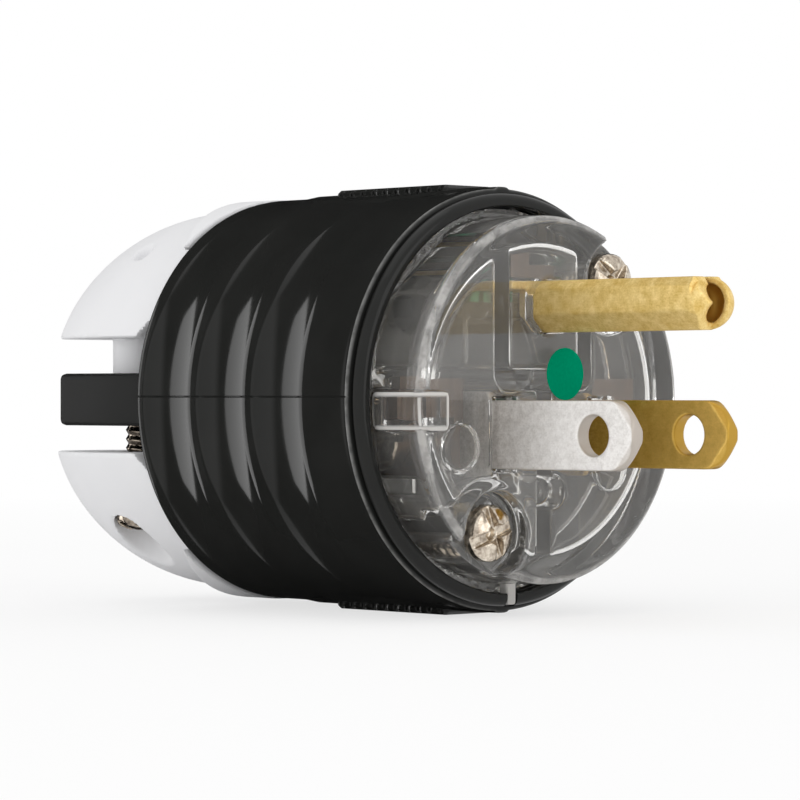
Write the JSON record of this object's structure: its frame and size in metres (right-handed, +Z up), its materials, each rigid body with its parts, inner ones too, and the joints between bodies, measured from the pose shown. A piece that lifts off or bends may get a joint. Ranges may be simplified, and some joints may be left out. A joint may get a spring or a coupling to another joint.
{
  "type": "power plug",
  "caption": "Round rewirable grounding mains plug with a clear front body, flat blades, a folded grounding pin, a black grooved shell and a white cord clamp with sliding jaws.",
  "frame": {"origin": "centre of the mating face, on the plug's axis", "axes": "+X along the plug, out of the mating face towards the blades' tips; +Z up, from the blades to the grounding pin; the nickel neutral blade is on -Y"},
  "size_m": [0.0781, 0.04, 0.041],
  "materials": {
    "black_shell": "satin moulded nylon",
    "clear_body": "clear polycarbonate",
    "white_jaw": "satin moulded nylon",
    "nickel_plate": "satin nickel plate",
    "brass": "stamped brass",
    "bronze": "stamped bronze",
    "screw_steel": "plated steel",
    "green_screw": "green-dyed plating"
  },
  "bodies": {
    "plug_body": {"shell": "black_shell", "front_body": "clear_body", "terminal_retainer": "clear_body", "neutral_blade": "nickel_plate", "hot_blade": "brass", "ground_pin": "brass", "neutral_clamp_plate": "bronze", "hot_clamp_plate": "bronze", "ground_clamp_plate": "bronze", "neutral_terminal_screw": "screw_steel", "hot_terminal_screw": "brass", "ground_terminal_screw": "green_screw", "lower_assembly_screw": "screw_steel", "upper_assembly_screw": "screw_steel", "lower_assembly_insert": "brass", "upper_assembly_insert": "brass"},
    "lower_clamp": {"lower_jaw": "white_jaw", "near_clamp_screw": "screw_steel", "far_clamp_screw": "screw_steel"},
    "upper_clamp": {"upper_jaw": "white_jaw", "near_clamp_insert": "brass", "far_clamp_insert": "brass"}
  },
  "joints": [
    {"name": "lower_jaw_slide", "type": "slide", "parent": "plug_body", "child": "lower_clamp", "axis": [0, 0, 1], "range_m": [0, 0.0022]},
    {"name": "upper_jaw_slide", "type": "slide", "parent": "plug_body", "child": "upper_clamp", "axis": [0, 0, -1], "range_m": [0, 0.0022]}
  ],
  "couplings": [
    {"joint": "upper_jaw_slide", "follows": "lower_jaw_slide", "ratio": 1}
  ]
}
